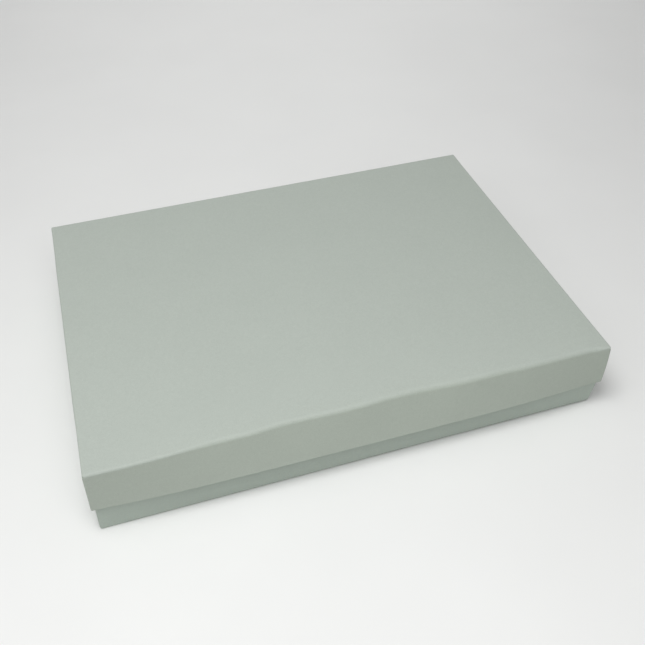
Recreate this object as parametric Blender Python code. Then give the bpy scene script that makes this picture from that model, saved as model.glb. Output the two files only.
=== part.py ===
"""Archival box with a lift-off lid, for A4 papers, folded from grey-green solid board.

The tray and the lid are each folded from one scored sheet. Their panels are separate
solids here, split at the creases, with a narrow gap along each fold. The corner tabs
fold round from the long walls and lie outside the end walls, and wire stitches hold
them there, so the inside stays smooth. The lid lifts straight off the tray.

Frame: +X along the length, +Y towards the back, +Z up, origin under the middle of the
tray on the surface that the box stands on. Everything is in metres.
"""

from dataclasses import dataclass
from math import pi

import bmesh
import bpy
from mathutils import Vector

MM = 0.001

# Whole box
LID_LENGTH = 318 * MM
LID_WIDTH = 232 * MM
LID_SKIRT = 30 * MM
BOX_HEIGHT = 51 * MM

# Board and folds
BOARD = 0.9 * MM
FOLD_GAP = 0.25 * MM  # between neighbouring panels, and between a tab and its wall
FOLD_ROUND = 0.6 * MM
FOLD_SEGMENTS = 3

# Fit of the lid over the tray
LID_REST_GAP = 0.3 * MM
SIDE_PLAY = 1.0 * MM
END_PLAY = 0.35 * MM

# Corner tabs
TAB_LENGTH = 30 * MM
TAB_TAPER = 5 * MM
TAB_RELIEF = 1.0 * MM

# Wire stitches, bent from flat wire
STITCH_CROWN = 12 * MM
STITCH_THICKNESS = 0.4 * MM
STITCH_WIDTH = 0.8 * MM
STITCH_TIP = 4.5 * MM
STITCH_PROUD = 0.15 * MM
STITCH_GAP = 0.2 * MM
STITCH_BEND = 0.25 * MM
STITCH_BEND_SEGMENTS = 2

# Derived sizes. At its ends the lid is two boards thick, a tab over a wall.
STITCHED_DEPTH = 2 * BOARD + FOLD_GAP
TRAY_LENGTH = LID_LENGTH - 2 * (STITCHED_DEPTH + END_PLAY)
TRAY_WIDTH = LID_WIDTH - 2 * (BOARD + SIDE_PLAY)
TRAY_WALL_TOP = BOX_HEIGHT - BOARD - LID_REST_GAP


@dataclass(frozen=True)
class FoldedHalf:
    """One half of the box: a flat panel with four walls folded towards the rim."""

    name: str
    panel_name: str
    length: float
    width: float
    panel_z: float
    rim_z: float
    stitch_levels: dict
    stitch_inset: float

    @property
    def rimward(self):
        """+1 where the walls rise from the panel, -1 where they hang from it."""
        return 1 if self.rim_z > self.panel_z else -1

    @property
    def wall_start(self):
        """Height at which the walls begin, just past the flat panel."""
        return self.panel_z + self.rimward * (BOARD + FOLD_GAP)


LID = FoldedHalf(
    name="lid",
    panel_name="lid_top_panel",
    length=LID_LENGTH,
    width=LID_WIDTH,
    panel_z=BOX_HEIGHT,
    rim_z=BOX_HEIGHT - LID_SKIRT,
    stitch_levels={"": 16 * MM},
    stitch_inset=12 * MM,
)
TRAY = FoldedHalf(
    name="tray",
    panel_name="tray_bottom_panel",
    length=TRAY_LENGTH,
    width=TRAY_WIDTH,
    panel_z=0.0,
    rim_z=TRAY_WALL_TOP,
    stitch_levels={"_lower": 13 * MM, "_upper": 36 * MM},
    stitch_inset=18 * MM,
)

ENDS = {"left": -1, "right": 1}
SIDES = {"front": -1, "back": 1}


def clear_scene():
    """Remove every object that the file starts with."""
    for item in list(bpy.data.objects):
        bpy.data.objects.remove(item, do_unlink=True)


def make_material(name, color, roughness, metallic=0.0):
    """A Principled material for one kind of sub-part."""
    material = bpy.data.materials.new(name)
    material.use_nodes = True
    shader = material.node_tree.nodes["Principled BSDF"]
    shader.inputs["Base Color"].default_value = (*color, 1.0)
    shader.inputs["Roughness"].default_value = roughness
    shader.inputs["Metallic"].default_value = metallic
    return material


def add_object(name, bm, material, parent, location, turn=0.0):
    """Store a finished bmesh as a named object under its parent empty."""
    bmesh.ops.recalc_face_normals(bm, faces=bm.faces)
    mesh = bpy.data.meshes.new(name)
    bm.to_mesh(mesh)
    bm.free()
    mesh.materials.append(material)
    item = bpy.data.objects.new(name, mesh)
    bpy.context.collection.objects.link(item)
    item.parent = parent
    item.location = Vector(location) - parent.location
    item.rotation_euler.z = turn
    return item


def add_empty(name, location):
    """The parent of one moving or standing half of the box."""
    empty = bpy.data.objects.new(name, None)
    bpy.context.collection.objects.link(empty)
    empty.location = location
    return empty


def box_bmesh(size):
    """A closed box of the given size, centred on its own origin."""
    bm = bmesh.new()
    bmesh.ops.create_cube(bm, size=1.0)
    bmesh.ops.scale(bm, vec=size, verts=bm.verts)
    return bm


def prism_bmesh(outline, sweep):
    """Extrude an outline of 3-D points along sweep, centred on the outline's plane."""
    bm = bmesh.new()
    start = -Vector(sweep) / 2
    face = bm.faces.new([bm.verts.new(Vector(point) + start) for point in outline])
    grown = bmesh.ops.extrude_face_region(bm, geom=[face])
    moved = [item for item in grown["geom"] if isinstance(item, bmesh.types.BMVert)]
    bmesh.ops.translate(bm, vec=sweep, verts=moved)
    return bm


def add_board(name, corner_a, corner_b, material, parent):
    """A flat rectangle of board between two opposite corners."""
    a, b = Vector(corner_a), Vector(corner_b)
    size = [abs(v) for v in (b - a)]
    return add_object(name, box_bmesh(size), material, parent, (a + b) / 2)


def add_flat_panel(half, material, parent):
    """The top or bottom panel, with its outer edges rounded over the creases."""
    bm = box_bmesh((half.length, half.width, BOARD))
    outer_z = -half.rimward * BOARD / 2
    creases = [
        edge for edge in bm.edges
        if all(abs(vert.co.z - outer_z) < BOARD / 4 for vert in edge.verts)
    ]
    bmesh.ops.bevel(
        bm, geom=creases, offset=FOLD_ROUND, segments=FOLD_SEGMENTS, profile=0.5, affect="EDGES"
    )
    centre = (0, 0, half.panel_z + half.rimward * BOARD / 2)
    return add_object(half.panel_name, bm, material, parent, centre)


def add_long_walls(half, material, parent):
    """The front and back walls, over the full length."""
    for side, sign in SIDES.items():
        outer = sign * half.width / 2
        add_board(
            f"{half.name}_{side}_wall",
            (-half.length / 2, outer, half.wall_start),
            (half.length / 2, outer - sign * BOARD, half.rim_z),
            material,
            parent,
        )


def add_end_walls(half, material, parent):
    """The two short walls, between the long walls and one tab in from the ends."""
    walls = {}
    reach = half.width / 2 - BOARD - FOLD_GAP
    for end, sign in ENDS.items():
        outer = sign * (half.length / 2 - BOARD - FOLD_GAP)
        walls[end] = add_board(
            f"{half.name}_{end}_end_wall",
            (outer, -reach, half.wall_start),
            (outer - sign * BOARD, reach, half.rim_z),
            material,
            parent,
        )
    return walls


def tab_outline(half, side_sign):
    """A tab's outline at x = 0: a strip that tapers from the fold to its free end."""
    near = half.wall_start + half.rimward * TAB_RELIEF
    far = half.rim_z - half.rimward * TAB_RELIEF
    taper = half.rimward * TAB_TAPER
    fold_y = side_sign * (half.width / 2 - BOARD - FOLD_GAP)
    free_y = fold_y - side_sign * TAB_LENGTH
    corners = [(fold_y, near), (fold_y, far), (free_y, far - taper), (free_y, near + taper)]
    return [(0, y, z) for y, z in corners]


def add_corner_tabs(half, material, parent):
    """Four tabs folded round from the long walls, flat over the end walls."""
    tabs = {}
    middle = (half.length - BOARD) / 2
    for side, side_sign in SIDES.items():
        for end, end_sign in ENDS.items():
            bm = prism_bmesh(tab_outline(half, side_sign), (BOARD, 0, 0))
            name = f"{half.name}_{side}_{end}_tab"
            tabs[side, end] = add_object(name, bm, material, parent, (end_sign * middle, 0, 0))
    return tabs


def stitch_outline(grow):
    """An open loop of wire in the XZ plane, made thicker all round by grow.

    X is the depth into the board, from the tab's outer face.
    """
    top = STITCH_CROWN / 2 + grow
    outside = -STITCH_PROUD - grow
    inside = STITCHED_DEPTH + STITCH_PROUD + grow
    wire = STITCH_THICKNESS + 2 * grow
    tip = top - STITCH_TIP - 2 * grow
    upper = [
        (outside, top),
        (inside, top),
        (inside, tip),
        (inside - wire, tip),
        (inside - wire, top - wire),
        (outside + wire, top - wire),
    ]
    lower = [(depth, -height) for depth, height in reversed(upper)]
    return [(depth, 0, height) for depth, height in upper + lower]


def stitch_bmesh(grow=0.0):
    """One stitch: crown outside, two legs through both boards, tips clinched inside."""
    return prism_bmesh(stitch_outline(grow), (0, STITCH_WIDTH + 2 * grow, 0))


def round_stitch_bends(bm):
    """Round the four outer bends, the edges across the wire where it turns."""
    top = STITCH_CROWN / 2
    bends = [
        edge for edge in bm.edges
        if all(abs(abs(vert.co.z) - top) < STITCH_BEND / 4 for vert in edge.verts)
        and abs(edge.verts[0].co.x - edge.verts[1].co.x) < STITCH_BEND / 4
    ]
    bmesh.ops.bevel(
        bm, geom=bends, offset=STITCH_BEND, segments=STITCH_BEND_SEGMENTS, profile=0.5,
        affect="EDGES",
    )


def cut_with(target, cutter):
    """Make room in a wall or a tab for one stitch."""
    cut = target.modifiers.new(cutter.name, "BOOLEAN")
    cut.operation = "DIFFERENCE"
    cut.solver = "EXACT"
    cut.object = cutter


def add_stitches(half, walls, tabs, material, parent):
    """Wire stitches through each tab and the end wall behind it."""
    for (side, end), tab in tabs.items():
        y = SIDES[side] * (half.width / 2 - half.stitch_inset)
        turn = 0.0 if end == "left" else pi
        for level, rise in half.stitch_levels.items():
            name = f"{half.name}_{side}_{end}_stitch{level}"
            place = (ENDS[end] * half.length / 2, y, half.panel_z + half.rimward * rise)
            bm = stitch_bmesh()
            round_stitch_bends(bm)
            add_object(name, bm, material, parent, place, turn)
            cutter = add_object(
                f"cutter_{name}", stitch_bmesh(STITCH_GAP), material, parent, place, turn
            )
            cutter.hide_render = True
            cutter.display_type = "WIRE"
            cut_with(walls[end], cutter)
            cut_with(tab, cutter)


def add_half(half, board, wire):
    """Build the tray or the lid under an empty on its lifting axis."""
    parent = add_empty(f"{half.name}_body", (0, 0, half.panel_z))
    add_flat_panel(half, board, parent)
    add_long_walls(half, board, parent)
    walls = add_end_walls(half, board, parent)
    tabs = add_corner_tabs(half, board, parent)
    add_stitches(half, walls, tabs, wire, parent)


def main():
    clear_scene()
    wire = make_material("stitch_wire", (0.55, 0.55, 0.54), 0.35, metallic=1.0)
    add_half(TRAY, make_material("tray_board", (0.40, 0.45, 0.40), 0.85), wire)
    add_half(LID, make_material("lid_board", (0.43, 0.47, 0.43), 0.85), wire)


main()
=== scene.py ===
"""Looks of the archival box: two folded sheets of grey-green board and their wire stitches.

The lid and the tray are each one scored sheet. A sheet is built here as its middle
surface, folded at rounded creases, then given its two faces and its cut edges, and last
bent a little, as board is by handling. Lengths are in metres, in the frame of the CAD
part: +X along the box, +Y to its back, +Z up.
"""

import math

import bmesh
import bpy
import numpy as np
from mathutils import Matrix, Vector


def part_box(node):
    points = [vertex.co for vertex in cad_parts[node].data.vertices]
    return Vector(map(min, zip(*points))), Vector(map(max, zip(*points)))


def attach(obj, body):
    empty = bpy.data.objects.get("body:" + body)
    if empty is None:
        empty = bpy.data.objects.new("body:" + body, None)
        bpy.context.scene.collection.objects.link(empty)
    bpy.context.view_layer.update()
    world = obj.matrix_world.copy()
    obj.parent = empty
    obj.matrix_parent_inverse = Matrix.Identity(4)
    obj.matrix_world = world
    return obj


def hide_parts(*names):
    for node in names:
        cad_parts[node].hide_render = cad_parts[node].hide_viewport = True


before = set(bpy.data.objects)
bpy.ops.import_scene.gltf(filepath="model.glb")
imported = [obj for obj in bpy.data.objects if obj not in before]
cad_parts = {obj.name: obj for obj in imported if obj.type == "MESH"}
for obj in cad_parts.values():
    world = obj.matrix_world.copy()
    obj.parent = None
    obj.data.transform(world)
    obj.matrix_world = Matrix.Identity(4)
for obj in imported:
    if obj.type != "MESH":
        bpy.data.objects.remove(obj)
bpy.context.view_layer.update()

MM = 0.001
ENDS = {"left": -1, "right": 1}
SIDES = {"front": -1, "back": 1}

# Creases and cut edges
CREASE_RADIUS = 1.1 * MM  # outside radius of a folded crease
CORNER_RADIUS = 1.0 * MM  # outside radius where a tab folds round the corner
CREASE_STEPS = 6
CREASE_BEAD = 0.15 * MM  # ridge that scoring raises on the inside of a fold
BEAD_WIDTH = 1.6 * MM
BEAD_CORE = 0.3  # share of that width over which the ridge has its full height
BEAD_FADE = (1.5 * MM, 6 * MM)  # distances from a corner between which the ridge fades in
EDGE_ROUND = 0.1 * MM  # softening of a cut edge
EDGE_PLIES = (0.9, 0.1)  # where its two middle lines lie between the outer and inner face
SLIT = 0.15 * MM  # cut between the corner's tip and the wall below it
END_TRIM = 1.3 * MM  # how much shorter an end wall is than its crease, at each end
TRIM_DEPTH = 2.4 * MM  # depth from which it is that much shorter
SHEET_SHARP = 42  # angle in degrees above which an edge of a sheet is left sharp

# Corner tabs
TAB_LENGTH = 30 * MM
TAB_TAPER = 5 * MM  # how much narrower a tab is at its free end, at either side
TAB_RELIEF = 1.1 * MM  # how far a tab is cut back beside the crease
RELIEF_RUN = 1.5 * MM  # length over which it is cut back
TAB_GAP = 0.15 * MM  # air between a tab and the end wall under it
DIMPLE = 0.14 * MM  # how far a wire pulls a tab in
DIMPLE_REACH = (0.3 * MM, 3 * MM)  # distances from the wire over which that fades
PRESS_RAMP = 18 * MM  # length over which the end wall is pressed in beside a tab
PRESS_DEPTH = (0.5 * MM, 2.0 * MM)  # depths between which it slides under the tab

# Wire stitches
WIRE_HALF = 0.2 * MM  # half of the wire's thickness
WIRE_PROUD = 0.15 * MM  # how far the wire stands out from the board
WIRE_BEND = 0.35 * MM  # radius of its bends
WIRE_RING = 12  # points round its section
WIRE_SQUARE = 0.45  # power that squares the section's corners
WIRE_SHARP = 50  # angle in degrees above which an edge of a wire is left sharp
TIP_LENGTH = 4.3 * MM  # length of a folded tip
TIP_DIG = 0.25 * MM  # how far a tip's end digs into the board
TIP_BULGE = 0.05 * MM  # how far its middle bulges away from the board
TIP_MIDDLE = 1.5 * MM  # where that is, from the end
TIP_THIN = 0.55  # thickness of a cut end, as a share of the wire's

# Mesh spacing
PANEL_STEP = 4 * MM
PANEL_MARGIN = 2 * MM  # from the bead's inner line to the first evenly spaced one
WALL_STEP = 2 * MM
WALL_START = (0.9 * MM, 2.2 * MM)  # depths of a wall's next two lines after the slit
TAB_START = 1.2 * MM  # distance of a tab's second line from its fold
SUPPORT = 0.4 * MM  # distance of a supporting line from a crease
NEAR_WIRE = (-3, -1.6, -0.8, -0.35, 0.35, 0.8, 1.6, 3)  # lines beside a wire, in mm from it
TINY = 1e-9


# ---------------------------------------------------------------- folded sheets


class Station:
    """One grid line across a sheet: on the flat panel, round a crease, or down a wall."""

    def __init__(self, flat=0.0, side=0, turn=0.0, drop=0.0):
        self.flat = flat
        self.side = side
        self.turn = turn
        self.drop = drop
        self.is_flat = side == 0
        self.is_wall = drop > 0.0


def spaced(start, end, step):
    """Evenly spaced values from start to end, no further apart than step."""
    count = max(1, math.ceil(abs(end - start) / step))
    return [start + (end - start) * i / count for i in range(count + 1)]


def wall_drops(depth):
    """Distances below a crease's arc at which a wall has a grid line."""
    first, start = WALL_START
    return [SLIT, first] + spaced(start, depth - SUPPORT, WALL_STEP) + [depth]


def stations(reach, depth):
    """Grid lines from one rim, over the panel, to the other rim."""
    margin = [reach, reach - SUPPORT, reach - BEAD_WIDTH]
    inner = margin[-1] - PANEL_MARGIN
    flats = [-m for m in margin] + spaced(-inner, inner, PANEL_STEP) + margin[::-1]
    turns = [math.pi / 2 * (i + 1) / CREASE_STEPS for i in range(CREASE_STEPS)]
    out = [Station(side=1, turn=t) for t in turns]
    out += [Station(side=1, turn=math.pi / 2, drop=d) for d in wall_drops(depth)]
    back = [Station(side=-1, turn=s.turn, drop=s.drop) for s in reversed(out)]
    return back + [Station(flat=f) for f in flats] + out


def ease(value, low, high):
    """0 below low, 1 above high, and a smooth rise between them."""
    t = np.clip((value - low) / (high - low), 0.0, 1.0)
    return t * t * (3 - 2 * t)


class FoldedSheet:
    """A sheet folded into a flat panel with four walls that hang from it.

    Built with the panel's outer face at z = 0 and the walls towards -z. softness(x) is the
    outside radius of the front crease at x, where it differs from CREASE_RADIUS. crowns are
    the wires that press into each tab: distance from the corner, and the two depths.
    """

    def __init__(self, length, width, depth, board, crowns, softness=None):
        self.length = length
        self.width = width
        self.depth = depth
        self.board = board
        self.crowns = crowns
        self.softness = softness or (lambda x: CREASE_RADIUS)
        self.points, self.normals, self.beads, self.faces = [], [], [], []
        self.keys = {}
        self.build_cross()
        self.build_corners()

    def add(self, key, point, normal, bead=0.0):
        """A vertex of the middle surface, made once for each key."""
        if key not in self.keys:
            self.keys[key] = len(self.points)
            self.points.append(point)
            self.normals.append(normal)
            self.beads.append(bead)
        return self.keys[key]

    def middle_radius(self, x, y):
        """Radius of the middle surface round the long crease at this place."""
        outside = self.softness(x) if y < 0 else CREASE_RADIUS
        return outside - self.board / 2

    def place(self, a, b):
        """Middle point, normal and bead of the grid crossing of stations a and b."""
        half = self.board / 2
        end_r = CREASE_RADIUS - half
        end_reach = self.length / 2 - half - end_r
        x = a.flat if a.is_flat else a.side * (end_reach + end_r * math.sin(a.turn))
        side_r = self.middle_radius(x, b.side or b.flat)
        side_reach = self.width / 2 - half - side_r
        if b.is_flat:
            y = b.flat * side_reach / (self.width / 2 - CREASE_RADIUS)
        else:
            y = b.side * (side_reach + side_r * math.sin(b.turn))
        turn = max(a.turn, b.turn)
        radius = end_r if b.is_flat else side_r
        if a.is_flat or b.is_flat:  # the panel, a wall, or a crease between its corners
            normal = (a.side * math.sin(a.turn), b.side * math.sin(b.turn), math.cos(turn))
            stretch = (self.depth - half - radius) / (self.depth - CREASE_RADIUS)
            z = -half - radius * (1 - math.cos(turn)) - max(a.drop, b.drop) * stretch
            if a.is_wall:
                trimmed = float(ease(-z, CREASE_RADIUS + SLIT, TRIM_DEPTH))
                y *= 1 - END_TRIM / side_reach * trimmed
        else:  # the tip of a corner, where two creases round off into one another
            ax, by = math.sin(a.turn), math.sin(b.turn)
            nx, ny = ax * math.sqrt(1 - by * by / 2), by * math.sqrt(1 - ax * ax / 2)
            nz = math.sqrt(max(0.0, 1 - nx * nx - ny * ny))
            share = nx * nx / (nx * nx + ny * ny)
            radius = end_r * share + side_r * (1 - share)
            x = a.side * (end_reach + end_r * nx)
            y = b.side * (side_reach + side_r * ny)
            z = -half - radius * (1 - nz)
            normal = (a.side * nx, b.side * ny, nz)
        x -= a.side * self.press(abs(y), -z)
        return (x, y, z), normal, self.bead(x, y, z)

    def press(self, y, depth):
        """How far the end wall is pressed in, to lie under a corner tab."""
        beside = ease(y, self.width / 2 - TAB_LENGTH - PRESS_RAMP, self.width / 2 - TAB_LENGTH)
        below = ease(depth, *PRESS_DEPTH)
        return (self.board + TAB_GAP) * beside * below

    def bead(self, x, y, z):
        """Height of the inside ridge near the panel's creases."""
        near, far = sorted((self.length / 2 - abs(x), self.width / 2 - abs(y)))
        away = math.hypot(max(near - self.board, 0.0), max(-z - self.board, 0.0))
        ridge = CREASE_BEAD * float(1 - ease(away, BEAD_CORE * BEAD_WIDTH, BEAD_WIDTH))
        return ridge * float(ease(far, *BEAD_FADE))

    def build_cross(self):
        """The panel with its four creases and walls, and the pressed tips of its corners."""
        xs = stations(self.length / 2 - CREASE_RADIUS, self.depth - CREASE_RADIUS)
        ys = stations(self.width / 2 - CREASE_RADIUS, self.depth - CREASE_RADIUS)

        def exists(a, b):
            return not ((a.is_wall and not b.is_flat) or (b.is_wall and not a.is_flat))

        for i, a in enumerate(xs):
            for j, b in enumerate(ys):
                if exists(a, b):
                    self.add((i, j), *self.place(a, b))
        for i in range(len(xs) - 1):
            for j in range(len(ys) - 1):
                ring = [(i, j), (i + 1, j), (i + 1, j + 1), (i, j + 1)]
                if all(key in self.keys for key in ring):
                    self.faces.append([self.keys[key] for key in ring])
        self.xs, self.ys = xs, ys

    def build_corners(self):
        """The long walls' last stretch, round the corner and into the tabs."""
        for side in SIDES.values():
            for end in ENDS.values():
                self.build_tab(side, end)

    def build_tab(self, side, end):
        """One corner: from the long wall's last shared line to the tab's free edge."""
        half = self.board / 2
        radius = CORNER_RADIUS - half
        fold_x = self.length / 2 - half - radius
        fold_y = self.width / 2 - half - radius
        start_x = self.length / 2 - CREASE_RADIUS
        rows = [j for j, b in enumerate(self.ys) if b.is_wall and b.side == side]
        past = (k for k, a in enumerate(self.xs) if a.is_flat and a.flat * end > start_x - TINY)
        i = next(past)
        depths = {j: -self.points[self.keys[i, j]][2] for j in rows}
        shallow, deep = min(depths.values()), max(depths.values())
        columns = []  # point along the wall, its outward normal, and how far into the tab
        for x in spaced(start_x, fold_x, SUPPORT)[1:]:
            columns.append((x, self.width / 2 - half, (0.0, 1.0), 0.0))
        for k in range(1, CREASE_STEPS + 1):
            t = math.pi / 2 * k / CREASE_STEPS
            normal = (math.sin(t), math.cos(t))
            corner = (fold_x + radius * normal[0], fold_y + radius * normal[1])
            columns.append((*corner, normal, radius * t))
        bend = radius * math.pi / 2
        for run in self.tab_runs(self.width / 2 - fold_y):
            columns.append((self.length / 2 - half, fold_y - run, (1.0, 0.0), bend + run))
        last = {j: self.keys[i, j] for j in rows}
        for c, (x, y, (nx, ny), run) in enumerate(columns):
            taper = TAB_TAPER * max(run - bend, 0.0) / TAB_LENGTH
            relief = taper + TAB_RELIEF * float(ease(run, 0.0, RELIEF_RUN))
            now = {}
            for j in rows:
                share = (depths[j] - shallow) / (deep - shallow)
                z = -(shallow + relief) * (1 - share) - (deep - taper) * share
                sunk = self.dimple(self.width / 2 - y, -z) if run > bend else 0.0
                point = (end * (x - sunk), side * y, z)
                now[j] = self.add(("tab", side, end, c, j), point, (end * nx, side * ny, 0.0))
            for j, k in zip(rows, rows[1:]):
                self.faces.append([last[j], now[j], now[k], last[k]])
            last = now

    def tab_runs(self, offset):
        """Distances along a tab at which it has a grid line, closer beside a wire."""
        runs = [SUPPORT] + spaced(TAB_START, TAB_LENGTH - SUPPORT, WALL_STEP) + [TAB_LENGTH]
        for inset in sorted({crown[0] for crown in self.crowns}):
            near = [inset - offset + step * MM for step in NEAR_WIRE]
            low, high = near[0] - SUPPORT, near[-1] + SUPPORT
            runs = [run for run in runs if run < low or run > high] + near
        return sorted(runs)

    def dimple(self, inset, depth):
        """How far a wire has pulled this spot of a tab in."""
        sunk = 0.0
        for at, top, foot in self.crowns:
            past = max(top - depth, depth - foot, 0.0)
            away = math.hypot(inset - at, past)
            sunk = max(sunk, DIMPLE * float(1 - ease(away, *DIMPLE_REACH)))
        return sunk

    def boundary(self):
        """Each boundary vertex with its outward direction along the sheet."""
        count = {}
        for face in self.faces:
            for p, q in zip(face, face[1:] + face[:1]):
                edge = (min(p, q), max(p, q))
                count.setdefault(edge, []).append(face)
        edges, outward = [], {}
        for (p, q), faces in count.items():
            if len(faces) > 1:
                continue
            along = Vector(self.points[q]) - Vector(self.points[p])
            normal = Vector(self.normals[p]) + Vector(self.normals[q])
            middle = sum((Vector(self.points[v]) for v in faces[0]), Vector()) / len(faces[0])
            away = along.cross(normal).normalized()
            if away.dot(Vector(self.points[p]) - middle) < 0:
                away.negate()
            edges.append((p, q))
            outward.setdefault(p, []).append(away)
            outward.setdefault(q, []).append(away)
        return edges, {v: sum(d, Vector()).normalized() for v, d in outward.items()}

    def thicken(self):
        """Vertices and faces of the whole board, its cut edges' faces last, and its plies."""
        half = self.board / 2
        edges, outward = self.boundary()
        count = len(self.points)
        verts = []
        for v in range(count):
            inset = outward.get(v, Vector()) * EDGE_ROUND
            verts.append(Vector(self.points[v]) + Vector(self.normals[v]) * half - inset)
        for v in range(count):
            inset = outward.get(v, Vector()) * EDGE_ROUND
            depth = half + self.beads[v]
            verts.append(Vector(self.points[v]) - Vector(self.normals[v]) * depth - inset)
        rim = {}
        for v in outward:
            low = half - EDGE_ROUND
            rim[v] = (len(verts), len(verts) + 1)
            verts.append(Vector(self.points[v]) + Vector(self.normals[v]) * low)
            verts.append(Vector(self.points[v]) - Vector(self.normals[v]) * low)
        faces = [list(face) for face in self.faces]
        faces += [[v + count for v in reversed(face)] for face in self.faces]
        cut_from = len(faces)
        for p, q in edges:
            outer, inner = rim[p], rim[q]
            faces.append([p, q, inner[0], outer[0]])
            faces.append([outer[0], inner[0], inner[1], outer[1]])
            faces.append([outer[1], inner[1], q + count, p + count])
        plies = [1.0] * count + [0.0] * count + list(EDGE_PLIES) * len(rim)
        return np.array(verts), faces, cut_from, plies


def add_object(name, data):
    """An object made of this data, in the scene."""
    item = bpy.data.objects.new(name, data)
    bpy.context.scene.collection.objects.link(item)
    return item


def add_solid(name, verts, faces, materials, sharp):
    """A closed, smooth-shaded object; edges above that angle in degrees are left sharp."""
    mesh = bpy.data.meshes.new(name)
    mesh.from_pydata([tuple(v) for v in verts], [], faces)
    for material in materials:
        mesh.materials.append(material)
    for polygon in mesh.polygons:
        polygon.use_smooth = True
    mesh.set_sharp_from_angle(angle=math.radians(sharp))
    bm = bmesh.new()
    bm.from_mesh(mesh)
    bmesh.ops.recalc_face_normals(bm, faces=bm.faces)
    bm.to_mesh(mesh)
    bm.free()
    return add_object(name, mesh)


def add_sheet(name, sheet, panel_z, rimward, warp, materials):
    """The finished sheet in its place on the box; the second material is for its cut edges."""
    verts, faces, cut_from, plies = sheet.thicken()
    verts[:, 2] = panel_z - rimward * verts[:, 2]
    item = add_solid(name, warp(verts), faces, materials, SHEET_SHARP)
    item.data.attributes.new("ply", "FLOAT", "POINT").data.foreach_set("value", plies)
    for polygon in item.data.polygons[cut_from:]:
        polygon.material_index = 1
    return item


# ---------------------------------------------------------------- handling of the board

# All lengths in this section are in mm, and so are x, y and z inside the two warps.

LID_TOP = 51.0  # height of the lid's panel
LID_SKIRT = 30.0  # depth of its walls
LID_END, LID_SIDE = 159.0, 116.0  # half of its length and of its width
TRAY_TOP = 49.8  # height of the tray's rim
TRAY_END, TRAY_SIDE = 157.0, 114.0  # about half of its length and of its width

# The lid
DENT = (  # how far its front crease is pushed in, at each x
    (-156, 0.5), (-138, 0.5), (-118, 1.0), (-88, 2.8), (-66, 2.5), (-50, 4.0), (-34, 4.0),
    (-17, 3.1), (0, 3.2), (17, 4.3), (40, 4.2), (55, 2.9), (66, 2.4), (90, 2.6), (105, 1.8),
    (135, 1.9), (147, 1.7), (153, 0.6), (159, 0.0),
)
KINK = 3.0  # how far to either side of x the dent is averaged, to soften its kinks
KINK_STEPS = 7
LID_REACH = 40.0  # how far back the dent and the bow fade out
BOW = 2.0  # how far its front wall stands out at its rim
BOW_CENTRE, BOW_REACH = -5.0, 150.0  # x about which bow and sag lie, and how far they go
SAG = 0.95  # how far its front edge hangs below its corners
SAG_LEFT, SAG_RIGHT = 26.0, 18.0  # how far back the sag fades, at either end
SAG_TURN = 80.0  # x at which the fade has turned from the left end's to the right end's
ROLL = 0.25  # how far its panel rolls down to the right edge
ROLL_FADE = 18.0  # how far from that edge the roll fades
ROLL_SIDE = 108.0  # y at which it has faded to nothing towards the corners
END_OUT = 0.45  # how far out its right end stands
END_BULGE = 0.5  # how much further that end bulges out at half its height
END_FLARE = 0.35  # how far out its left end stands at its rim
END_FROM = 60.0  # distance from the middle at which an end starts to move

# Its front crease, beyond CREASE_RADIUS; the places x of this one are in metres
SOFT_LEFT = 0.3
SOFT_RISES = ((0.8, -0.11, -0.09), (0.5, 0.0, 0.06))  # each added between two places x
SOFT_FADE = (0.148, 0.157)  # places x between which the right corner turns crisp

# The tray
TRAY_SHARE = 0.85  # how much of the dent its rim follows
TRAY_REACH = 54.0  # how far back the bends of its front fade out
TRAY_SHIFT = -0.2  # how far in its front left corner stands at its foot
TRAY_SKEW = 1.6  # how far in its front right corner stands at its foot
TRAY_RAISE = 1.0  # how far the same corner's foot is off the ground
TRAY_CORNER = 0.9  # how far out the same corner stands above its foot
CORNER_FROM = 90.0  # x at which it starts to stand out
CORNER_RISE = (0.0, 20.0)  # heights between which it comes out
CORNER_FADE = (22.0, 40.0)  # heights between which it goes back in
TRAY_SAG = 1.8  # how far its front rim is pressed down under the lid's
TRAY_SAG_FROM = 100.0  # distance from the middle at which that starts
TRAY_OUT = (0.65, 0.75)  # how far out its left and right ends stand
TRAY_SQUEEZE = 0.4  # how much less its left end does so inside the lid
SQUEEZE_RISE = (0.4, 0.6)  # shares of its height between which that sets in
TRAY_LEAN = 0.4  # how far out its left end leans at its foot
TRAY_TUCK = 1.0  # how far in its right end leans at its foot
FOOT_HEIGHT, FOOT_POWER = 28.0, 1.4  # height above which a foot's lean ends, and its curve


def dent(x):
    """Inward push of the lid's front crease at x."""
    at, depth = zip(*DENT)
    steps = np.linspace(-KINK, KINK, KINK_STEPS)
    return sum(np.interp(x + step, at, depth) for step in steps) / len(steps)


def lid_softness(x):
    """Outside radius of the lid's front crease: crisp at its ends, softer to the right."""
    soft = SOFT_LEFT
    for rise, start, end in SOFT_RISES:
        soft = soft + rise * ease(x, start, end)
    return CREASE_RADIUS + MM * float(soft * (1 - ease(x, *SOFT_FADE)))


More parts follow.
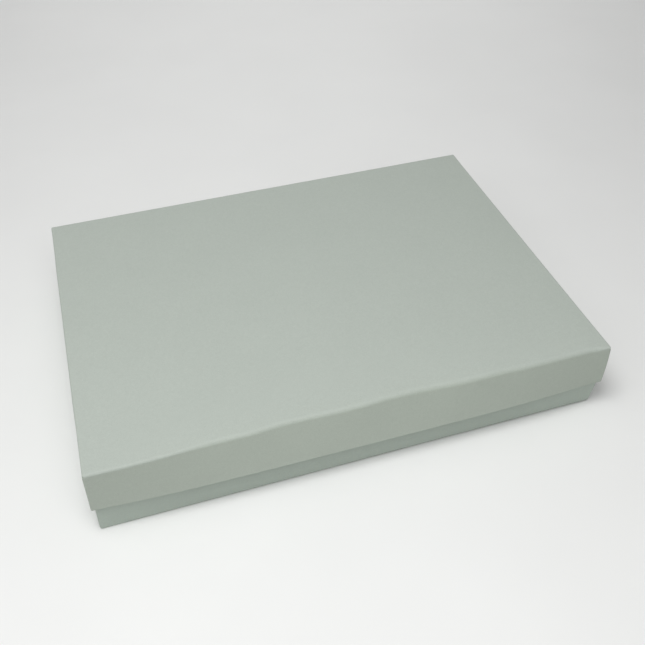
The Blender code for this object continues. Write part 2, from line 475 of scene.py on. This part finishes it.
def lid_warp(verts):
    """The lid as handling left it.

    Its front crease is dented, its front wall bows out at the rim and its front edge sags.
    Its panel rolls down to the right, its right end bulges and its left end flares.
    """
    x, y, z = (verts.T / MM).copy()
    down = np.clip((LID_TOP - z) / LID_SKIRT, 0.0, 1.0)
    front = 1 - ease(y, -LID_SIDE, LID_REACH - LID_SIDE)
    middle = np.clip(1 - ((x - BOW_CENTRE) / BOW_REACH) ** 4, 0.0, 1.0)
    fade = SAG_LEFT + (SAG_RIGHT - SAG_LEFT) * ease(x, 0.0, SAG_TURN)
    z = z - SAG * middle * np.exp(-np.maximum(y + LID_SIDE, 0.0) / fade)
    sides = np.clip(1 - (y / ROLL_SIDE) ** 4, 0.0, 1.0)
    z = z - ROLL * sides * np.exp(-np.maximum(LID_END - x, 0.0) / ROLL_FADE)
    y = y + front * (dent(x) * (1 - down) - BOW * middle * down)
    right_out = END_OUT + END_BULGE * 4 * down * (1 - down)
    left = 1 - ease(x, -LID_END, -END_FROM)
    x = x + right_out * ease(x, END_FROM, LID_END) - END_FLARE * down * left
    return np.stack([x, y, z], axis=1) * MM


def tray_warp(verts):
    """The tray as handling left it.

    Its rim follows the lid's dent and is pressed down by the lid's sag. Its foot is a
    little out of square, and its ends and its front right corner stand out.
    """
    x, y, z = (verts.T / MM).copy()
    up = np.clip(z / TRAY_TOP, 0.0, 1.0)
    foot = np.clip(1 - z / FOOT_HEIGHT, 0.0, 1.0) ** FOOT_POWER
    front = 1 - ease(y, -TRAY_SIDE, TRAY_REACH - TRAY_SIDE)
    right = np.clip((x + TRAY_END) / (2 * TRAY_END), 0.0, 1.0)
    skew = TRAY_SHIFT * (1 - right) + TRAY_SKEW * right
    y = y + front * (TRAY_SHARE * dent(x) * up ** 2 + skew * foot)
    low = ease(z, *CORNER_RISE) * (1 - ease(z, *CORNER_FADE))
    y = y - front * TRAY_CORNER * ease(x, CORNER_FROM, TRAY_END) * low
    middle = np.clip(1 - (x / TRAY_END) ** 8, 0.0, 1.0)
    pressed = TRAY_SAG * middle * up * ease(-y, TRAY_SAG_FROM, TRAY_SIDE)
    z = z + front * (TRAY_RAISE * right * (1 - up) - pressed)
    left_out = TRAY_OUT[0] - TRAY_SQUEEZE * ease(up, *SQUEEZE_RISE) + TRAY_LEAN * foot
    x = x - left_out * (1 - ease(x, -TRAY_END, 0.0))
    x = x + (TRAY_OUT[1] - TRAY_TUCK * foot) * ease(x, 0.0, TRAY_END)
    return np.stack([x, y, z], axis=1) * MM


# ---------------------------------------------------------------- materials

# The lid's top is painted a cooler tint than its walls. This is painted light: it stands for
# the cooler light falling on the top and the warmer light thrown up onto the walls.
LID_COLOR = (0.397, 0.442, 0.386)
LID_TOP_TINT = (0.403, 0.443, 0.402)
LID_TINT_HEIGHTS = (0.048, 0.0505)  # heights in metres between which the lid turns to its painted top tint
TRAY_COLOR = (0.4, 0.458, 0.406)
WIRE_COLORS = ((0.5, 0.5, 0.49), (0.66, 0.65, 0.63))
FLOOR_COLORS = ((0.79, 0.795, 0.785), (0.81, 0.815, 0.805))


class Shader:
    """A new node material, with its principled shader and object coordinates."""

    def __init__(self, name):
        self.material = bpy.data.materials.new(name)
        self.material.use_nodes = True
        self.tree = self.material.node_tree
        self.surface = self.tree.nodes["Principled BSDF"]
        self.coords = self.tree.nodes.new("ShaderNodeTexCoord").outputs["Object"]

    def noise(self, scale, detail=3.0, rough=0.6, stretch=None):
        """Noise with about this many grains to the metre, perhaps drawn out along an axis."""
        node = self.tree.nodes.new("ShaderNodeTexNoise")
        node.inputs["Scale"].default_value = scale
        node.inputs["Detail"].default_value = detail
        node.inputs["Roughness"].default_value = rough
        source = self.coords
        if stretch:
            mapping = self.tree.nodes.new("ShaderNodeMapping")
            mapping.inputs["Scale"].default_value = stretch
            self.tree.links.new(source, mapping.inputs["Vector"])
            source = mapping.outputs["Vector"]
        self.tree.links.new(source, node.inputs["Vector"])
        return node.outputs["Fac"]

    def span(self, value, given, wanted):
        """value brought from the given pair's range to the wanted pair's."""
        node = self.tree.nodes.new("ShaderNodeMapRange")
        names = ("From Min", "From Max", "To Min", "To Max")
        for name, number in zip(names, (*given, *wanted)):
            node.inputs[name].default_value = number
        self.tree.links.new(value, node.inputs["Value"])
        return node.outputs["Result"]

    def blend(self, share, low, high):
        """A colour between low and high; either may be a colour or a socket."""
        node = self.tree.nodes.new("ShaderNodeMix")
        node.data_type = "RGBA"
        self.tree.links.new(share, node.inputs["Factor"])
        for name, value in (("A", low), ("B", high)):
            socket = next(i for i in node.inputs if i.name == name and i.type == "RGBA")
            if isinstance(value, tuple):
                socket.default_value = (*value, 1.0)
            else:
                self.tree.links.new(value, socket)
        return next(o for o in node.outputs if o.type == "RGBA")

    def tint(self, color, factor):
        """A colour, or a colour's socket, made brighter or darker by a factor's socket."""
        node = self.tree.nodes.new("ShaderNodeVectorMath")
        node.operation = "SCALE"
        if isinstance(color, tuple):
            node.inputs[0].default_value = color
        else:
            self.tree.links.new(color, node.inputs[0])
        self.tree.links.new(factor, node.inputs["Scale"])
        return node.outputs["Vector"]

    def bump(self, height, distance, strength, under=None):
        """Relief of this height in metres, over another relief if one is given."""
        node = self.tree.nodes.new("ShaderNodeBump")
        node.inputs["Distance"].default_value = distance
        node.inputs["Strength"].default_value = strength
        self.tree.links.new(height, node.inputs["Height"])
        if under:
            self.tree.links.new(under, node.inputs["Normal"])
        return node.outputs["Normal"]

    def set(self, name, value):
        """Give the surface's input a number, a colour or a socket."""
        if isinstance(value, bpy.types.NodeSocket):
            self.tree.links.new(value, self.surface.inputs[name])
        else:
            self.surface.inputs[name].default_value = value


def scaled(color, factor):
    """A colour's numbers, each times the factor."""
    return tuple(c * factor for c in color)


def board_material(name, color, top_tint=None, heights=None):
    """Dull solid board: fibres and soft clouds in its colour, a felt-like surface.

    Where it has a top tint too, it turns to that one between two heights. This is painted
    light: the top gets a cooler colour than the walls, for the light that falls on each.
    """
    shader = Shader(name)
    plain = color
    # painted light: above these heights the colour turns to the top's cooler tint
    if top_tint:
        height = shader.tree.nodes.new("ShaderNodeSeparateXYZ")
        shader.tree.links.new(shader.coords, height.inputs["Vector"])
        plain = shader.blend(shader.span(height.outputs["Z"], heights, (0, 1)), color, top_tint)
    fibre = shader.noise(1500, 3, 0.75)
    felt = shader.noise(380, 3, 0.6)
    cloud = shader.noise(24, 2, 0.5)
    speck = shader.noise(650, 2, 0.5, (1.0, 1.7, 1.3))
    tone = shader.tint(plain, shader.span(felt, (0.35, 0.65), (0.985, 1.015)))
    tone = shader.tint(tone, shader.span(fibre, (0.3, 0.7), (0.94, 1.06)))
    tone = shader.tint(tone, shader.span(cloud, (0.35, 0.65), (1.006, 0.994)))
    tone = shader.tint(tone, shader.span(speck, (0.68, 0.8), (1.0, 0.86)))
    shader.set("Base Color", tone)
    shader.set("Roughness", shader.span(felt, (0.3, 0.7), (0.62, 0.72)))
    shader.set("Specular IOR Level", 0.5)
    relief = shader.bump(felt, 0.00005, 0.35)
    shader.set("Normal", shader.bump(fibre, 0.00003, 0.5, relief))
    return shader.material


def edge_material(name, color):
    """The board's cut edge: paler, rough, with the plies it was pressed from."""
    shader = Shader(name)
    ply = shader.tree.nodes.new("ShaderNodeAttribute")
    ply.attribute_name = "ply"
    wave = shader.tree.nodes.new("ShaderNodeTexNoise")
    wave.noise_dimensions = "1D"
    wave.inputs["Scale"].default_value = 9.0
    wave.inputs["Detail"].default_value = 2.0
    shader.tree.links.new(ply.outputs["Fac"], wave.inputs["W"])
    fluff = shader.noise(2400, 3, 0.7)
    plies = shader.span(wave.outputs["Fac"], (0.35, 0.65), (0, 1))
    tone = shader.blend(plies, scaled(color, 0.9), scaled(color, 1.14))
    tone = shader.blend(shader.span(fluff, (0.3, 0.7), (0, 0.6)), tone, scaled(color, 1.2))
    shader.set("Base Color", tone)
    shader.set("Roughness", shader.span(fluff, (0.3, 0.7), (0.88, 0.98)))
    shader.set("Specular IOR Level", 0.2)
    relief = shader.bump(wave.outputs["Fac"], 0.00006, 0.6)
    shader.set("Normal", shader.bump(fluff, 0.00005, 0.7, relief))
    return shader.material


def wire_material(name):
    """Dull steel wire with fine marks drawn out along it."""
    shader = Shader(name)
    drawn = shader.noise(5200, 3, 0.6, (1.0, 1.0, 0.06))
    worn = shader.noise(420, 3, 0.6)
    brighter = shader.span(worn, (0.3, 0.7), (0, 1))
    shader.set("Base Color", shader.blend(brighter, *WIRE_COLORS))
    shader.set("Metallic", 1.0)
    shader.set("Roughness", shader.span(drawn, (0.3, 0.7), (0.26, 0.46)))
    shader.set("Normal", shader.bump(drawn, 0.00001, 0.5))
    return shader.material


def floor_material():
    """A pale matt floor, very slightly mottled."""
    shader = Shader("floor")
    mottle = shader.noise(9, 3, 0.5)
    grain = shader.noise(700, 2, 0.6)
    paler = shader.span(mottle, (0.3, 0.7), (0, 1))
    shader.set("Base Color", shader.blend(paler, *FLOOR_COLORS))
    shader.set("Roughness", shader.span(grain, (0.3, 0.7), (0.6, 0.7)))
    shader.set("Normal", shader.bump(grain, 0.00005, 0.3))
    return shader.material


# ---------------------------------------------------------------- the two halves


def half_nodes(half, panel):
    """Names of the CAD panels that a folded sheet stands for."""
    names = [panel]
    names += [f"{half}_{side}_wall" for side in SIDES]
    names += [f"{half}_{end}_end_wall" for end in ENDS]
    names += [f"{half}_{side}_{end}_tab" for side in SIDES for end in ENDS]
    return names


def stitch_names(half):
    """The CAD's wire stitches on this half of the box."""
    return [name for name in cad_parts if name.startswith(half) and "stitch" in name]


def crown_places(half, panel_z, width):
    """Where wires cross the front right tab: distance from the corner, and two depths."""
    places = []
    for name in stitch_names(half):
        low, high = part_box(name)
        if name.startswith(f"{half}_front_right"):
            depths = sorted((abs(low.z - panel_z), abs(high.z - panel_z)))
            places.append((width / 2 + (low.y + high.y) / 2, *depths))
    return places


def rounded_path(corners, radius, steps=6):
    """Points along a path whose corners are bent to a radius."""
    path = [corners[0]]
    for before, corner, after in zip(corners, corners[1:], corners[2:]):
        back, on = (before - corner).normalized(), (after - corner).normalized()
        reach = radius / math.tan(back.angle(on) / 2)
        start, end = corner + back * reach, corner + on * reach
        for k in range(steps + 1):
            t = k / steps
            path.append(start * (1 - t) ** 2 + corner * 2 * t * (1 - t) + end * t * t)
    return path + [corners[-1]]


def squared(value):
    """A sine or cosine, changed so that it draws a round section with squarer corners."""
    return math.copysign(abs(value) ** WIRE_SQUARE, value)


def stitch_path(half_height, outer, inner):
    """Bends of a stitch, from one folded tip over the crown to the other.

    outer and inner are the distances from the box's middle at which crown and tips lie.
    """
    leg = half_height - WIRE_HALF
    tip = leg - TIP_LENGTH
    corners = [Vector((inner + TIP_DIG, tip)), Vector((inner - TIP_BULGE, tip + TIP_MIDDLE))]
    corners += [Vector((inner, leg)), Vector((outer, leg))]
    corners += [Vector((c.x, -c.y)) for c in reversed(corners)]
    return rounded_path(corners, WIRE_BEND)


def add_stitch(name, half, sheet, warp, material):
    """A staple-like stitch: a flat wire through tab and end wall, its tips folded over."""
    low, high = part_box(name)
    end = 1 if low.x > 0 else -1
    half_width = (high.y - low.y) / 2
    middle_y, middle_z = (low.y + high.y) / 2, (low.z + high.z) / 2
    outer = sheet.length / 2 + WIRE_PROUD - WIRE_HALF
    inner = sheet.length / 2 - 2 * sheet.board - TAB_GAP - WIRE_PROUD + WIRE_HALF
    path = stitch_path((high.z - low.z) / 2, outer, inner)
    verts, ring = [], WIRE_RING
    for k, spot in enumerate(path):
        ahead, behind = path[min(k + 1, len(path) - 1)], path[max(k - 1, 0)]
        along = (ahead - behind).normalized()
        thin = TIP_THIN if k in (0, len(path) - 1) else 1.0
        for n in range(ring):
            turn = 2 * math.pi * (n + 0.5) / ring
            wide = half_width * squared(math.cos(turn))
            deep = WIRE_HALF * thin * squared(math.sin(turn))
            u, w = spot.x - along.y * deep, spot.y + along.x * deep
            verts.append((end * u, middle_y + wide, middle_z + w))
    faces = [list(range(ring))[::-1], [len(verts) - ring + n for n in range(ring)]]
    for k in range(len(path) - 1):
        for n in range(ring):
            m = (n + 1) % ring
            faces.append([k * ring + n, k * ring + m, (k + 1) * ring + m, (k + 1) * ring + n])
    item = add_solid(f"{name}_wire", warp(np.array(verts)), faces, [material], WIRE_SHARP)
    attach(item, half)
    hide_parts(name)


def add_half(half, panel, warp, softness, materials, wire):
    """Fold one sheet to the CAD's sizes, stitch it, and let it ride on its body."""
    low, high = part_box(panel)
    wall_low, wall_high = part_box(f"{half}_front_wall")
    board = high.z - low.z
    rimward = 1 if wall_high.z > high.z else -1
    panel_z = low.z if rimward > 0 else high.z
    rim_z = wall_high.z if rimward > 0 else wall_low.z
    length, width = high.x - low.x, high.y - low.y
    crowns = crown_places(half, panel_z, width)
    sheet = FoldedSheet(length, width, abs(rim_z - panel_z), board, crowns, softness)
    item = add_sheet(f"{half}_sheet", sheet, panel_z, rimward, warp, materials)
    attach(item, half)
    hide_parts(*half_nodes(half, panel))
    for name in stitch_names(half):
        add_stitch(name, half, sheet, warp, wire)


def add_floor(material):
    """A pale floor under the box, out to well past what the camera sees."""
    reach = 3.0
    mesh = bpy.data.meshes.new("floor")
    corners = [(-reach, -reach, 0), (reach, -reach, 0), (reach, reach, 0), (-reach, reach, 0)]
    mesh.from_pydata(corners, [], [(0, 1, 2, 3)])
    mesh.materials.append(material)
    add_object("floor", mesh)


# ---------------------------------------------------------------- light and camera

ROOM_LIGHT = (0.32, 0.32, 0.32, 1.0)
LAMP_TARGET = (0, 0, 0.03)
SOFT_BOXES = (  # name, place, power in watts and size in metres
    ("key", (-0.2, -0.21, 0.9), 4.3, 0.4),
    ("wide", (-0.35, -0.3, 0.75), 1.87, 0.9),
    ("near", (0.0, -0.45, 0.6), 0.74, 0.3),
)
BEHIND_PLACE, BEHIND_TARGET = (0.25, 0.95, 1.5), (0.25, 0.95, 0.0)
BEHIND_POWER = 32.0  # watts
BEHIND_CONE = 70  # degrees
BEHIND_RADIUS = 0.2  # metres

CAMERA_PLACE = Vector((-0.1187, -0.4134, 0.4181))
CAMERA_HEADING = 16.36  # degrees that it looks to the right of straight ahead
CAMERA_DROP = 40.51  # degrees that it looks down
CAMERA_ROLL = -1.0  # degrees
CAMERA_LENS, CAMERA_SENSOR = 47.25, 36.0  # focal length and sensor width in mm
CAMERA_SHIFT = (0.0195, -0.0622)  # shares of the picture's width


def add_lamp(name, kind, place, target, power):
    """A lamp of one kind that faces the target; its data, to be shaped."""
    data = bpy.data.lights.new(name, kind)
    data.energy = power
    lamp = add_object(name, data)
    lamp.location = place
    lamp.rotation_euler = (Vector(target) - Vector(place)).to_track_quat("-Z", "Y").to_euler()
    return data


def add_room():
    """The world: an evenly lit, pale room."""
    world = bpy.data.worlds.new("studio")
    world.use_nodes = True
    world.node_tree.nodes["Background"].inputs["Color"].default_value = ROOM_LIGHT
    bpy.context.scene.world = world


def add_lights():
    """The even room, soft boxes over the box's front left, a spot on the floor behind it."""
    add_room()
    for name, place, power, size in SOFT_BOXES:
        add_lamp(name, "AREA", place, LAMP_TARGET, power).size = size
    behind = add_lamp("behind", "SPOT", BEHIND_PLACE, BEHIND_TARGET, BEHIND_POWER)
    behind.spot_size = math.radians(BEHIND_CONE)
    behind.spot_blend = 1.0
    behind.shadow_soft_size = BEHIND_RADIUS
    bpy.context.scene.view_settings.view_transform = "Standard"


def add_camera():
    """The camera, from its place and the direction that it looks in."""
    heading, drop = math.radians(CAMERA_HEADING), math.radians(CAMERA_DROP)
    level = math.cos(drop)
    look = Vector((math.sin(heading) * level, math.cos(heading) * level, -math.sin(drop)))
    data = bpy.data.cameras.new("camera")
    data.sensor_width = CAMERA_SENSOR
    data.lens = CAMERA_LENS
    data.shift_x, data.shift_y = CAMERA_SHIFT
    data.clip_start = 0.01
    camera = add_object("camera", data)
    turn = look.to_track_quat("-Z", "Y").to_matrix()
    roll = Matrix.Rotation(math.radians(CAMERA_ROLL), 3, "Z")
    camera.matrix_world = Matrix.Translation(CAMERA_PLACE) @ (turn @ roll).to_4x4()
    bpy.context.scene.camera = camera


def main():
    """Both halves of the box, then what surrounds them."""
    wire = wire_material("stitch_wire")
    lid_board = [
        # the lid's top gets a painted tint for the light that falls on it
        board_material("lid_board", LID_COLOR, LID_TOP_TINT, LID_TINT_HEIGHTS),
        edge_material("lid_edge", LID_COLOR),
    ]
    tray_board = [
        board_material("tray_board", TRAY_COLOR),
        edge_material("tray_edge", TRAY_COLOR),
    ]
    add_half("lid", "lid_top_panel", lid_warp, lid_softness, lid_board, wire)
    add_half("tray", "tray_bottom_panel", tray_warp, None, tray_board, wire)
    add_floor(floor_material())
    add_lights()
    add_camera()


main()
